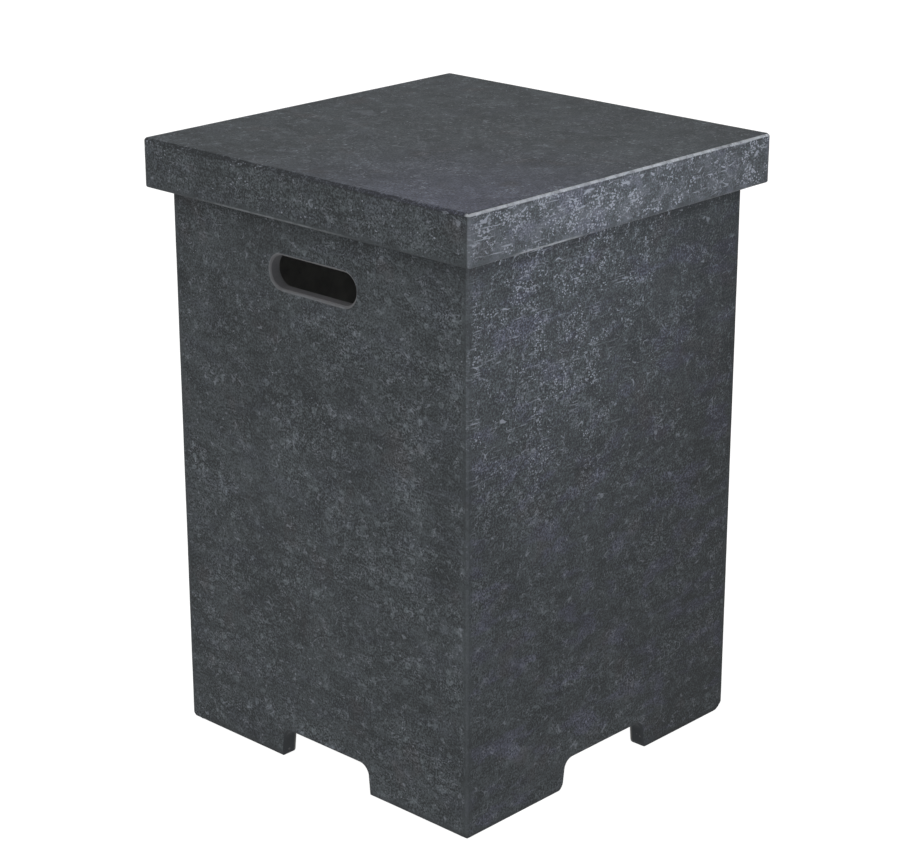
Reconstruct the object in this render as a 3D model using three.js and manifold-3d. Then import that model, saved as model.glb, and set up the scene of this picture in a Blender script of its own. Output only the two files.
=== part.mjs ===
// A square cast-concrete side table that hides a gas cylinder: a hollow shell on four corner feet, with two
// handle slots near the top, and a cap lid that lifts off its rim.
// Millimetres, +Z up. The origin is on the floor under the table's centre, and the front faces -Y.
import * as THREE from "three";
import { mergeVertices } from "three/addons/utils/BufferGeometryUtils.js";
import Module from "manifold-3d";

const wasm = await Module();
wasm.setup();

// Overall size.
const overallWidth = 420;
const overallHeight = 600;

// The cap lid: a slab with a skirt that hangs round the shell's rim.
const lidHeight = 48;
const lidSlab = 15;
const lidSkirt = 15;
const lidFitGap = 4; // from the skirt's inner face to the shell, on each side
const lidCorner = 6;
const lidTopEdge = 4.5;
const lidSkirtEdge = 3;
const lidInnerEdge = 2;
const lidInnerCorner = 8;
const lidInnerFillet = 6; // where the skirt meets the slab underneath

// The shell: four walls cast in one go, open above and below.
const shellRimWall = 13;
const shellFootWall = 16; // the core is drawn out at the top, so it tapers and the walls thicken downwards
const shellCorner = 3.5;
const shellRimEdge = 3;
const shellSoleEdge = 2;
const shellInnerCorner = 18;
const shellInnerEdge = 3; // the rounding of the rim and the sole on the cylinder's side

// The handle slots, in the front and back walls.
const slotLength = 111.5;
const slotHeight = 31.5;
const slotDrop = 84; // from the shell's rim down to the slot's centre
const slotShift = -1.5; // the core is set by hand, a little off the middle of the wall
const slotEdge = 2;

// The floor notches, one in each wall, which leave the four feet.
const notchWidth = 115.5;
const notchHeight = 30;
const notchCorner = 12;
const notchSplay = 2; // how much wider each side of the notch is at the sole
const notchShift = 4; // the notches are off the middle of the walls too
const notchEdge = 1.8;
const notchToe = 1.8; // where a side of the front or back notch runs out through the sole
const frontFootToe = 9; // the side walls' notches run out more softly, most of all at the front feet
const backFootToe = 5.5;

// The rubber discs under the lid and under the feet, and the glue film that holds them.
const bumperRadius = 8;
const bumperThickness = 3;
const padRadius = 8;
const padThickness = 1.5;
const discEdge = 0.4;
const discInset = 3; // from the shell's outer faces to the disc's rim
const glueFilm = 0.3;
const seatGap = 0.3; // between a bumper and the rim that it stands on

// How far a cutter runs past the faces that it opens.
const overrun = 10;

// Steps in each rounded edge, each rounded corner and each half of a slot's end.
const edgeSteps = 5;
const cornerSteps = 6;
const slotSteps = 20;
const discSteps = 24;
const discEdgeSteps = 2;

// Sizes that follow from the ones above.
const shellWidth = overallWidth - 2 * (lidSkirt + lidFitGap);
const shellInside = shellWidth - 2 * shellRimWall;
const soleLevel = padThickness + glueFilm;
const lidBottom = overallHeight - lidHeight;
const lidUnderside = overallHeight - lidSlab;
const bumperTop = lidUnderside - glueFilm;
const bumperBottom = bumperTop - bumperThickness;
const rimLevel = bumperBottom - seatGap;
const slotLevel = rimLevel - slotDrop;

const QUARTER_TURN = Math.PI / 2;
const HALF_TURN = Math.PI;

// Colour, roughness and metalness of each finish.
const concrete = new THREE.MeshStandardMaterial({ color: 0x464b50, roughness: 0.8, metalness: 0 });
const rubber = new THREE.MeshStandardMaterial({ color: 0x1b1b1d, roughness: 0.9, metalness: 0 });

// Outlines, each as its points in order, anticlockwise and left open. grow moves every edge outwards by
// that much. An arc gets two points for each division that getPoints is asked for.

function roundedSquare(width, corner, grow) {
  const half = width / 2 + grow;
  const radius = corner + grow;
  const centre = half - radius;
  const outline = new THREE.Shape();
  outline.absarc(centre, centre, radius, 0, QUARTER_TURN);
  outline.absarc(-centre, centre, radius, QUARTER_TURN, HALF_TURN);
  outline.absarc(-centre, -centre, radius, HALF_TURN, 3 * QUARTER_TURN);
  outline.absarc(centre, -centre, radius, 3 * QUARTER_TURN, 2 * HALF_TURN);
  return outline.getPoints(cornerSteps / 2);
}

function stadium(length, height, grow) {
  const radius = height / 2 + grow;
  const centre = (length - height) / 2;
  const outline = new THREE.Shape();
  outline.absarc(centre, 0, radius, -QUARTER_TURN, QUARTER_TURN);
  outline.absarc(-centre, 0, radius, QUARTER_TURN, 3 * QUARTER_TURN);
  return outline.getPoints(slotSteps / 2);
}

// The notch's profile, with the sole at height zero: splayed sides, round upper corners, and a rounded toe
// where each side runs out through the sole. Straight lines join the arcs.
function notchProfile(grow, leftToe, rightToe) {
  const top = notchHeight + grow;
  const radius = notchCorner + grow;
  const half = notchWidth / 2 + grow;
  const left = -half - notchSplay - leftToe;
  const right = half + notchSplay + rightToe;
  const outline = new THREE.Shape();
  outline.moveTo(left, -overrun);
  outline.lineTo(right, -overrun);
  outline.absarc(right, rightToe, rightToe, -QUARTER_TURN, -HALF_TURN, true);
  outline.absarc(half - radius, top - radius, radius, 0, QUARTER_TURN);
  outline.absarc(radius - half, top - radius, radius, QUARTER_TURN, HALF_TURN);
  outline.absarc(left, leftToe, leftToe, 0, -QUARTER_TURN, true);
  return outline.getPoints(cornerSteps / 2);
}

// The end of a prism, as stations of {level, grow}. A rounded end draws in by its radius, and a flared one
// opens out by it, which leaves a rounded edge on the wall that the prism is cut from.
function endStations(end, direction, radius, flared) {
  return Array.from({ length: edgeSteps + 1 }, (unused, step) => {
    const turn = (QUARTER_TURN * step) / edgeSteps;
    const spread = radius * (1 - Math.cos(turn));
    return {
      level: end - direction * radius * (1 - Math.sin(turn)),
      grow: flared ? spread : -spread,
    };
  });
}

// Stations from the low end to the high end. An end is {at, radius, flared}, and a flared end runs on past
// its face.
function stationsBetween(low, high) {
  const below = low.flared ? [{ level: low.at - overrun, grow: low.radius }] : [];
  const above = high.flared ? [{ level: high.at + overrun, grow: high.radius }] : [];
  return [
    ...below,
    ...endStations(low.at, -1, low.radius, low.flared).reverse(),
    ...endStations(high.at, 1, high.radius, high.flared),
    ...above,
  ];
}

// A closed prism along +Z, with a ring of points at each station and a fan over each end.
function loft(outlineAt, stations) {
  const rings = stations.map(({ level, grow }) =>
    outlineAt(grow, level).map((point) => new THREE.Vector3(point.x, point.y, level)),
  );
  const count = rings[0].length;
  const centres = [rings[0], rings.at(-1)].map((ring) =>
    ring.reduce((sum, point) => sum.add(point), new THREE.Vector3()).divideScalar(count),
  );
  const faces = [];
  for (let i = 0; i < count; i += 1) {
    const next = (i + 1) % count;
    faces.push(centres[0], rings[0][next], rings[0][i]);
    faces.push(centres[1], rings.at(-1)[i], rings.at(-1)[next]);
    for (let level = 0; level + 1 < rings.length; level += 1) {
      const lower = rings[level];
      const upper = rings[level + 1];
      faces.push(lower[i], lower[next], upper[next]);
      faces.push(lower[i], upper[next], upper[i]);
    }
  }
  return new THREE.BufferGeometry().setFromPoints(faces);
}

// A flat rubber disc with softened rims, standing on z = 0.
function disc(radius, thickness) {
  const arc = (centreY, from) =>
    Array.from({ length: discEdgeSteps + 1 }, (unused, step) => {
      const turn = from + (QUARTER_TURN * step) / discEdgeSteps;
      return new THREE.Vector2(
        radius - discEdge + discEdge * Math.cos(turn),
        centreY + discEdge * Math.sin(turn),
      );
    });
  const profile = [
    new THREE.Vector2(0, 0),
    ...arc(discEdge, -QUARTER_TURN),
    ...arc(thickness - discEdge, 0),
    new THREE.Vector2(0, thickness),
  ];
  return new THREE.LatheGeometry(profile, discSteps).rotateX(QUARTER_TURN);
}

// Boolean cuts.

function toSolid(geometry) {
  const bare = geometry.clone();
  bare.deleteAttribute("normal");
  bare.deleteAttribute("uv");
  const merged = mergeVertices(bare);
  const vertProperties = merged.getAttribute("position").array;
  const triVerts = new Uint32Array(merged.index.array);
  return new wasm.Manifold(new wasm.Mesh({ numProp: 3, vertProperties, triVerts }));
}

function cut(body, cutters) {
  const left = cutters.reduce((solid, cutter) => solid.subtract(toSolid(cutter)), toSolid(body));
  const { vertProperties, triVerts } = left.getMesh();
  const geometry = new THREE.BufferGeometry()
    .setAttribute("position", new THREE.BufferAttribute(vertProperties, 3))
    .setIndex(new THREE.BufferAttribute(triVerts, 1));
  geometry.computeVertexNormals();
  return geometry;
}

// How much thicker the shell's walls are at a level than at the rim.
function coreTaper(level) {
  return ((shellFootWall - shellRimWall) * (rimLevel - level)) / (rimLevel - soleLevel);
}

function shellGeometry() {
  const walls = loft(
    (grow) => roundedSquare(shellWidth, shellCorner, grow),
    stationsBetween(
      { at: soleLevel, radius: shellSoleEdge, flared: false },
      { at: rimLevel, radius: shellRimEdge, flared: false },
    ),
  );
  const well = loft(
    (grow, level) => roundedSquare(shellInside, shellInnerCorner, grow - coreTaper(level)),
    stationsBetween(
      { at: soleLevel, radius: shellInnerEdge, flared: true },
      { at: rimLevel, radius: shellInnerEdge, flared: true },
    ),
  );
  const outer = shellWidth / 2;
  const throughWall = stationsBetween(
    { at: outer - shellRimWall - coreTaper(slotLevel), radius: slotEdge, flared: true },
    { at: outer, radius: slotEdge, flared: true },
  );
  const slots = [0, 1].map((side) =>
    loft((grow) => stadium(slotLength, slotHeight, grow), throughWall)
      .rotateX(QUARTER_TURN)
      .translate(slotShift, 0, slotLevel)
      .rotateZ(side * HALF_TURN),
  );
  const throughBoth = stationsBetween(
    { at: -outer, radius: notchEdge, flared: true },
    { at: outer, radius: notchEdge, flared: true },
  );
  const toes = [
    [notchToe, notchToe],
    [frontFootToe, backFootToe],
  ];
  const notches = toes.map(([leftToe, rightToe], side) =>
    loft((grow) => notchProfile(grow, leftToe, rightToe), throughBoth)
      .rotateX(QUARTER_TURN)
      .translate(notchShift, 0, soleLevel)
      .rotateZ(side * QUARTER_TURN),
  );
  return cut(walls, [well, ...slots, ...notches]);
}

function lidGeometry() {
  const block = loft(
    (grow) => roundedSquare(overallWidth, lidCorner, grow),
    stationsBetween(
      { at: lidBottom, radius: lidSkirtEdge, flared: false },
      { at: overallHeight, radius: lidTopEdge, flared: false },
    ),
  );
  const hollow = loft(
    (grow) => roundedSquare(overallWidth - 2 * lidSkirt, lidInnerCorner, grow),
    stationsBetween(
      { at: lidBottom, radius: lidInnerEdge, flared: true },
      { at: lidUnderside, radius: lidInnerFillet, flared: false },
    ),
  );
  return cut(block, [hollow]);
}

function part(name, geometry, material) {
  const mesh = new THREE.Mesh(geometry, material);
  mesh.name = name;
  return mesh;
}

// One disc over each corner of the shell, standing on the given level.
function cornerDiscs(name, radius, thickness, level) {
  const reach = shellWidth / 2 - discInset - radius;
  const corners = [
    ["front_left", -reach, -reach],
    ["front_right", reach, -reach],
    ["back_left", -reach, reach],
    ["back_right", reach, reach],
  ];
  return corners.map(([corner, x, y]) => {
    const mesh = part(`${name}_${corner}`, disc(radius, thickness), rubber);
    mesh.position.set(x, y, level);
    return mesh;
  });
}

const cover = new THREE.Group();
cover.add(part("body_shell", shellGeometry(), concrete));
cover.add(...cornerDiscs("foot_pad", padRadius, padThickness, 0));

const lid = new THREE.Group();
lid.add(part("lid", lidGeometry(), concrete));
lid.add(...cornerDiscs("lid_bumper", bumperRadius, bumperThickness, bumperBottom));

const table = new THREE.Group();
table.add(cover, lid);

export default table;
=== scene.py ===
"""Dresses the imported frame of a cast-concrete cover table for a gas cylinder.

The table is a hollow shell on four corner feet and a cap lid that lifts off its rim. Both are modelled here
as dense castings with real relief and a stone-imprint finish, and so are the rubber discs under the lid and
the feet. Everything is in metres, +Z up, with the origin on the floor under the table.
"""
import logging
import math
from abc import ABC, abstractmethod
from collections.abc import Callable, Sequence
from dataclasses import dataclass, field
from enum import Enum
from typing import Any

import bmesh
import bpy
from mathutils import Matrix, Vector


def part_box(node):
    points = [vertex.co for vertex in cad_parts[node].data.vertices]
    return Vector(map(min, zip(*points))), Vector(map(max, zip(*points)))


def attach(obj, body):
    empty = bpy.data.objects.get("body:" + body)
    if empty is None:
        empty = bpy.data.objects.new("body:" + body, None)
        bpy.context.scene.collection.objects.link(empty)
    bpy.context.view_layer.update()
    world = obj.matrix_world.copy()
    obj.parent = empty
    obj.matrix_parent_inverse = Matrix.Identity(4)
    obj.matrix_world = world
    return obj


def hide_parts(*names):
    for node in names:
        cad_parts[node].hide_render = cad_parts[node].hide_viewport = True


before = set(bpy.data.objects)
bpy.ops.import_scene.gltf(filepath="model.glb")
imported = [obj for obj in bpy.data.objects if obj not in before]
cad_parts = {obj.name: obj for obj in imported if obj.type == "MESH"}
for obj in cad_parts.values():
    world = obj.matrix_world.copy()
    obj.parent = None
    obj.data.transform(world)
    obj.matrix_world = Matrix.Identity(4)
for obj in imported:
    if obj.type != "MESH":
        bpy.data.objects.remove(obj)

LOG = logging.getLogger("cover_table")
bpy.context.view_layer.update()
MM = 0.001
NEAR = 0.01 * MM  # how close counts as being there
ALIGNED = 0.99  # the cosine from which an edge counts as lying along an axis
QUARTER_TURN = math.pi / 2
WHITE = (1.0, 1.0, 1.0)
COOL_WHITE = (0.93, 0.97, 1.06)
TABLE_MIDDLE = (0.0, 0.0, 0.3)

Colour = tuple[float, float, float]
Place = tuple[float, float, float]
Ramp = tuple[float, float]  # where a smooth step starts and where it ends
Value = Any  # a node socket, or the number or vector that is set on one


class Axis(Enum):
    """A row axis, as the index of its coordinate."""

    X = 0
    Y = 1
    Z = 2

    def vector(self, length: float = 1.0) -> Vector:
        """Returns a vector of that length along the axis."""
        made = Vector((0.0, 0.0, 0.0))
        made[self.value] = length
        return made


class Form(Enum):
    """The form that a workpiece starts from."""

    BLOCK = "block"
    BALL = "ball"
    CYLINDER = "cylinder"


class Element(Enum):
    """What a selection in edit mode is made of."""

    VERTEX = "VERT"
    EDGE = "EDGE"
    FACE = "FACE"


def linear(red: int, green: int, blue: int) -> Colour:
    """Turns a colour as a screen shows it into the linear values that shaders work in.

    Args:
        red: Red, from 0 to 255.
        green: Green, from 0 to 255.
        blue: Blue, from 0 to 255.

    Returns:
        The three linear values.
    """
    full, knee, low_part, offset, power = 255, 0.04045, 12.92, 0.055, 2.4
    shares = (channel / full for channel in (red, green, blue))
    return tuple(
        share / low_part if share <= knee else ((share + offset) / (1 + offset)) ** power
        for share in shares
    )


def sorted_corners(one: Vector, other: Vector) -> tuple[Vector, Vector]:
    """Returns the lowest and the highest corner of the box that two corners span."""
    pairs = [sorted(pair) for pair in zip(one, other)]
    return Vector([low for low, _ in pairs]), Vector([high for _, high in pairs])


def spans(axis: Axis, least: float) -> Callable[[bmesh.types.BMEdge], bool]:
    """Returns a test for edges that run further than this along an axis."""
    return lambda edge: abs(edge.verts[0].co[axis.value] - edge.verts[1].co[axis.value]) > least


class Workpiece:
    """A mesh on the bench, with the selections and the operators that shape it."""

    ball_steps = 80
    cylinder_steps = 48

    def __init__(
        self, name: str, low: Sequence[float], high: Sequence[float], form: Form = Form.BLOCK
    ) -> None:
        """Adds a plain form that fills a box.

        Args:
            name: The name of the piece.
            low: The lowest corner of its box.
            high: The highest corner of its box.
            form: The form that it starts from.
        """
        low, high = Vector(low), Vector(high)
        middle = (low + high) / 2
        bpy.ops.object.select_all(action="DESELECT")
        if form is Form.BALL:
            bpy.ops.mesh.primitive_uv_sphere_add(
                segments=self.ball_steps, ring_count=self.ball_steps // 2, radius=0.5, location=middle
            )
        elif form is Form.CYLINDER:
            bpy.ops.mesh.primitive_cylinder_add(
                vertices=self.cylinder_steps, radius=0.5, depth=1, location=middle
            )
        else:
            bpy.ops.mesh.primitive_cube_add(size=1, location=middle)
        self.object = bpy.context.object
        self.object.name = name
        self.object.data.name = name
        self.object.scale = high - low
        bpy.ops.object.transform_apply(location=True, rotation=True, scale=True)

    def copy(self, name: str, shift: Vector) -> "Workpiece":
        """Returns a copy of the piece with a mesh of its own, moved by a shift."""
        self.make_active()
        bpy.ops.object.duplicate(linked=False)
        twin = object.__new__(Workpiece)
        twin.object = bpy.context.object
        twin.object.name = name
        twin.object.data.name = name
        bpy.ops.transform.translate(value=shift)
        return twin

    def select(self, element: Element, wanted: Callable[[Any], bool]) -> None:
        """Goes into edit mode and selects the elements that a test picks.

        Args:
            element: What to select.
            wanted: The test, which is given a vertex, edge or face.
        """
        self.make_active()
        bpy.ops.object.mode_set(mode="EDIT")
        bpy.ops.mesh.select_mode(type=element.value)
        bpy.ops.mesh.select_all(action="DESELECT")
        mesh = bmesh.from_edit_mesh(self.object.data)
        groups = {Element.VERTEX: mesh.verts, Element.EDGE: mesh.edges, Element.FACE: mesh.faces}
        chosen = [item for item in groups[element] if wanted(item)]
        for item in chosen:
            item.select_set(True)
        bmesh.update_edit_mesh(self.object.data)

    def make_active(self) -> None:
        """Leaves edit mode and makes this piece the only selected one."""
        if bpy.context.object and bpy.context.object.mode == "EDIT":
            bpy.ops.object.mode_set(mode="OBJECT")
        bpy.ops.object.select_all(action="DESELECT")
        self.object.select_set(True)
        bpy.context.view_layer.objects.active = self.object

    def apply_modifier(self, kind: str, **settings: Any) -> None:
        """Adds a modifier with these settings and applies it."""
        self.make_active()
        modifier = self.object.modifiers.new(kind.lower(), kind)
        for name, value in settings.items():
            setattr(modifier, name, value)
        bpy.ops.object.modifier_apply(modifier=modifier.name)

    def round_edges(self, radius_of: Callable[[Vector, Vector], float], segments: int) -> None:
        """Rounds every edge of the block, each by a radius of its own.

        Args:
            radius_of: Gives an edge's radius from its two ends.
            segments: The steps across each rounding.
        """
        mesh = self.object.data
        ends = [[mesh.vertices[index].co for index in edge.vertices] for edge in mesh.edges]
        radii = [radius_of(start, end) for start, end in ends]
        widest = max(radii)
        weights = mesh.attributes.new("bevel_weight_edge", "FLOAT", "EDGE")
        weights.data.foreach_set("value", [radius / widest for radius in radii])
        self.apply_modifier("BEVEL", limit_method="WEIGHT", width=widest, segments=segments)

    def bevel(self, wanted: Callable[[bmesh.types.BMEdge], bool], offset: float, segments: int) -> None:
        """Rounds the edges that a test picks."""
        self.select(Element.EDGE, wanted)
        bpy.ops.mesh.bevel(offset=offset, segments=segments)
        self.make_active()

    def slice_along(self, axis: Axis, pitch: float, shortest: float) -> None:
        """Divides the long edges along an axis, so that the faces between them become a grid.

        Args:
            axis: The axis that the edges lie along.
            pitch: The length of a step of the grid.
            shortest: The shortest edge that counts as long.
        """
        lengths = []

        def lies_along(edge: bmesh.types.BMEdge) -> bool:
            """Says whether an edge is long and lies along the axis, and keeps its length."""
            run = edge.verts[1].co - edge.verts[0].co
            found = run.length > shortest and abs(run[axis.value]) > ALIGNED * run.length
            if found:
                lengths.append(run.length)
            return found

        self.select(Element.EDGE, lies_along)
        bpy.ops.mesh.subdivide(number_cuts=round(max(lengths) / pitch) - 1)
        self.make_active()

    def cut_level(self, axis: Axis, level: float) -> None:
        """Cuts the mesh all the way round at one level of an axis, so that it has vertices there."""
        self.select(Element.FACE, lambda face: True)
        bpy.ops.mesh.bisect(plane_co=axis.vector(level), plane_no=axis.vector())
        self.make_active()

    def shift_side(self, height: float, middle: Vector, outwards: Vector) -> None:
        """Moves the vertices that lie at one height, on one side of a middle.

        Args:
            height: The height of the vertices.
            middle: A point halfway between the two sides.
            outwards: The move, which points to the side that makes it.
        """
        self.select(
            Element.VERTEX,
            lambda vertex: abs(vertex.co.z - height) < NEAR and (vertex.co - middle).dot(outwards) > 0,
        )
        bpy.ops.transform.translate(value=outwards)
        self.make_active()

    def flare_end(self, axis: Axis, end: float, flare: "Flare", half: Vector, pivot: Vector) -> None:
        """Draws an end face out in steps that open like a trumpet, and then straight on.

        Args:
            axis: The axis that the end face looks along.
            end: The end face's level on that axis.
            flare: The rounding that the trumpet leaves, and how far it runs on.
            half: The distances from the pivot to the sides, which grow by the flare's radius.
            pivot: The point that the sides grow away from.
        """
        outwards = math.copysign(1, end - pivot[axis.value])
        level, grown = end, 0.0
        for rise, grow in [*flare.steps(), (flare.radius + flare.overrun, flare.radius)]:
            self.select(
                Element.FACE,
                lambda face, at=level: all(abs(v.co[axis.value] - at) < NEAR for v in face.verts),
            )
            step = end + outwards * rise - level
            bpy.ops.mesh.extrude_region_move(TRANSFORM_OT_translate={"value": axis.vector(step)})
            factors = [(side + grow) / (side + grown) if side else 1.0 for side in half]
            bpy.ops.transform.resize(value=tuple(factors), center_override=pivot)
            level, grown = end + outwards * rise, grow
        self.make_active()

    def taper(self, low: float, high: float, share: float) -> None:
        """Draws the piece in evenly below its top, level by level.

        Args:
            low: The level of its lowest vertices.
            high: The level of its highest ones.
            share: The lowest level's width as a share of the top's.
        """
        levels = sorted({round(vertex.co.z / NEAR) for vertex in self.object.data.vertices})
        for level in levels:
            drawn = 1 - (1 - share) * (high - level * NEAR) / (high - low)
            self.select(Element.VERTEX, lambda vertex, at=level: abs(vertex.co.z / NEAR - at) < 1)
            bpy.ops.transform.resize(value=(drawn, drawn, 1), center_override=(0, 0, 0))
        self.make_active()

    def subtract(self, cutter: "Workpiece") -> None:
        """Cuts another piece out of this one, whose cut faces keep its finish, and deletes it."""
        self.apply_modifier(
            "BOOLEAN",
            operation="DIFFERENCE",
            object=cutter.object,
            solver="EXACT",
            material_mode="TRANSFER",
        )
        bpy.data.objects.remove(cutter.object)

    def emboss(self, relief: "Relief", group: str) -> None:
        """Gives the surface a relief, as deep as the group's weights say, and all of it inwards."""
        self.apply_modifier(
            "DISPLACE",
            texture=relief.texture(),
            texture_coords="LOCAL",
            direction="NORMAL",
            strength=relief.depth,
            mid_level=1.0,
            vertex_group=group,
        )

    def knock_off(self, corner: Vector, reach: Vector) -> None:
        """Takes a corner off down to a ball, which meets each of the three faces in a quarter oval.

        Args:
            corner: The place of the corner.
            reach: How far the oval reaches along each edge, which points into the piece.
        """
        centre = corner + reach
        half = math.sqrt(2) * reach
        kept = Workpiece("kept", *sorted_corners(centre - half, centre + half), Form.BALL)
        cutter = Workpiece("knock", *sorted_corners(corner - reach, centre))
        cutter.object.data.materials.append(self.object.data.materials[0])
        cutter.subtract(kept)
        self.subtract(cutter)

    def weigh(self, group: str, weight_of: Callable[[Vector], float]) -> None:
        """Fills a vertex group with weights that follow the place.

        Args:
            group: The name of the group.
            weight_of: Gives a vertex's weight from its place.
        """
        made = self.object.vertex_groups.new(name=group)
        steps = 20
        shares = {}
        for vertex in self.object.data.vertices:
            shares.setdefault(round(steps * weight_of(vertex.co)), []).append(vertex.index)
        for share, indices in shares.items():
            made.add(indices, share / steps, "REPLACE")

    def finish(self, angle: float) -> bpy.types.Object:
        """Cleans the mesh, smooths it up to an angle, and puts its origin in the frame's.

        Args:
            angle: The widest angle, in radians, that still shades as one surface.

        Returns:
            The finished object.
        """
        self.select(Element.VERTEX, lambda vertex: True)
        bpy.ops.mesh.remove_doubles(threshold=NEAR)
        bpy.ops.mesh.normals_make_consistent(inside=False)
        self.make_active()
        bpy.ops.object.shade_smooth_by_angle(angle=angle)
        bpy.ops.object.transform_apply(location=True, rotation=True, scale=True)
        return self.object


@dataclass(frozen=True)
class Flare:
    """The trumpet mouth of a cutter, which leaves a rounded edge on the wall."""

    radius: float
    overrun: float = 10 * MM
    segments: int = 5

    def steps(self) -> list[tuple[float, float]]:
        """Returns the rise and the growth at each step of the quarter turn."""
        turns = [QUARTER_TURN * step / self.segments for step in range(1, self.segments + 1)]
        return [(self.radius * math.sin(turn), self.radius * (1 - math.cos(turn))) for turn in turns]


@dataclass(frozen=True)
class Relief:
    """A procedural relief that a casting takes from its mould."""

    name: str
    size: float
    depth: float
    detail: int = 2

    def texture(self) -> bpy.types.Texture:
        """Returns the clouds that shape the relief."""
        made = bpy.data.textures.new(self.name, "CLOUDS")
        made.noise_scale = self.size
        made.noise_depth = self.detail
        return made


@dataclass(frozen=True)
class Pattern:
    """Fractal noise of its own kind, in millimetres.

    Attributes:
        size: How large its features are.
        shift: Where it starts, so that no two patterns line up.
        squeeze: Its scale in the level plane, where less than 1 draws the features out sideways.
        detail: How many finer layers it has.
        swirl: How far its features are twisted.
        ramp: The noise at which its patches start, and the noise at which they are full.
    """

    size: float
    shift: Place = (0, 0, 0)
    squeeze: float = 1.0
    detail: float = 2.0
    swirl: float = 0.0
    ramp: Ramp = (0.0, 1.0)


class NodeSheet:
    """A material's node tree, with short ways to add the nodes that the finishes use."""

    noise_mean = 0.5
    noise_roughness = 0.55

    def __init__(self, name: str) -> None:
        """Starts a material with a Principled shader, and coordinates in millimetres."""
        self.material = bpy.data.materials.new(name)
        self.material.use_nodes = True
        self.tree = self.material.node_tree
        self.shader = self.tree.nodes["Principled BSDF"]
        place = self.tree.nodes.new("ShaderNodeTexCoord")
        self.metres = place.outputs["Object"]
        self.place = self.vector("SCALE", self.metres, scale=1 / MM)

    def set(self, socket: bpy.types.NodeSocket, value: Value) -> None:
        """Links a socket to another, or sets its value."""
        if isinstance(value, bpy.types.NodeSocket):
            self.tree.links.new(value, socket)
        else:
            socket.default_value = value

    def cover(self, colour: Value, roughness: Value, sheen: float = 0.5, normal: Value = None) -> None:
        """Gives the shader its colour, roughness, specular level and, where there is one, its normal."""
        inputs = self.shader.inputs
        self.set(inputs["Base Color"], (*colour, 1.0) if isinstance(colour, tuple) else colour)
        self.set(inputs["Roughness"], roughness)
        self.set(inputs["Specular IOR Level"], sheen)
        if normal is not None:
            self.set(inputs["Normal"], normal)

    def math(self, operation: str, first: Value, second: Value = 0.0) -> Value:
        """Adds a Math node and returns its output."""
        node = self.tree.nodes.new("ShaderNodeMath")
        node.operation = operation
        self.set(node.inputs[0], first)
        self.set(node.inputs[1], second)
        return node.outputs[0]

    def fold(self, operation: str, values: Sequence[Value]) -> Value:
        """Joins several values, one after the other, by the same operation."""
        result, *others = values
        for value in others:
            result = self.math(operation, result, value)
        return result

    def total(self, *values: Value) -> Value:
        """Returns the sum of several values."""
        return self.fold("ADD", values)

    def product(self, *values: Value) -> Value:
        """Returns the product of several values."""
        return self.fold("MULTIPLY", values)

    def greatest(self, *values: Value) -> Value:
        """Returns the greatest of several values."""
        return self.fold("MAXIMUM", values)

    def less(self, value: Value, taken: Value) -> Value:
        """Returns a value less another."""
        return self.math("SUBTRACT", value, taken)

    def span(self, value: Value) -> Value:
        """Returns how far a value is from 0."""
        return self.math("ABSOLUTE", value)

    def line(self, value: Value, base: Value, gain: float) -> Value:
        """Returns a base plus a gain times a value."""
        return self.total(base, self.product(value, gain))

    def vector(self, operation: str, first: Value, second: Value = None, scale: Value = 1.0) -> Value:
        """Adds a Vector Math node and returns its vector output."""
        node = self.tree.nodes.new("ShaderNodeVectorMath")
        node.operation = operation
        self.set(node.inputs[0], first)
        if second is not None:
            self.set(node.inputs[1], second)
        if operation == "SCALE":
            self.set(node.inputs["Scale"], scale)
        return node.outputs["Vector"]

    def split(self, vector: Value) -> tuple[Value, Value, Value]:
        """Returns the three parts of a vector."""
        node = self.tree.nodes.new("ShaderNodeSeparateXYZ")
        self.set(node.inputs[0], vector)
        return tuple(node.outputs)

    def moved(self, shift: Place, squeeze: float) -> Value:
        """Returns the place in millimetres, squeezed in the level plane and then shifted."""
        return self.vector("ADD", self.vector("MULTIPLY", self.place, (squeeze, squeeze, 1.0)), shift)

    def noise(self, pattern: Pattern, place: Value = None) -> Value:
        """Adds a pattern's noise, from 0 to 1, at the pattern's own place unless another is given."""
        node = self.tree.nodes.new("ShaderNodeTexNoise")
        if place is None:
            place = self.moved(pattern.shift, pattern.squeeze)
        self.set(node.inputs["Vector"], place)
        node.inputs["Scale"].default_value = 1 / pattern.size
        node.inputs["Detail"].default_value = pattern.detail
        node.inputs["Roughness"].default_value = self.noise_roughness
        node.inputs["Distortion"].default_value = pattern.swirl
        return node.outputs[0]

    def swing(self, pattern: Pattern, place: Value = None) -> Value:
        """Returns a pattern's noise about its mean."""
        return self.less(self.noise(pattern, place), self.noise_mean)

    def patches(self, pattern: Pattern, lift: Value = 0.0) -> Value:
        """Returns 1 in the patches where a pattern, with a lift added to it, is high."""
        return self.rise(self.total(self.noise(pattern), lift), *pattern.ramp)

    def veins(self, pattern: Pattern) -> Value:
        """Returns 1 in the thin lines along which a pattern crosses its mean."""
        return self.rise(self.span(self.swing(pattern)), *pattern.ramp)

    def rise(self, value: Value, start: float, end: float) -> Value:
        """Returns a smooth step from 0 at the start to 1 at the end, whichever is larger."""
        node = self.tree.nodes.new("ShaderNodeMapRange")
        node.interpolation_type = "SMOOTHSTEP"
        self.set(node.inputs["Value"], value)
        node.inputs["From Min"].default_value = start
        node.inputs["From Max"].default_value = end
        return node.outputs["Result"]

    def near(self, value: Value, edge: float, ramp: Ramp) -> Value:
        """Returns a smooth step whose start and end lie this far below an edge, or above it if negative."""
        return self.rise(value, edge - ramp[0], edge - ramp[1])

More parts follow.
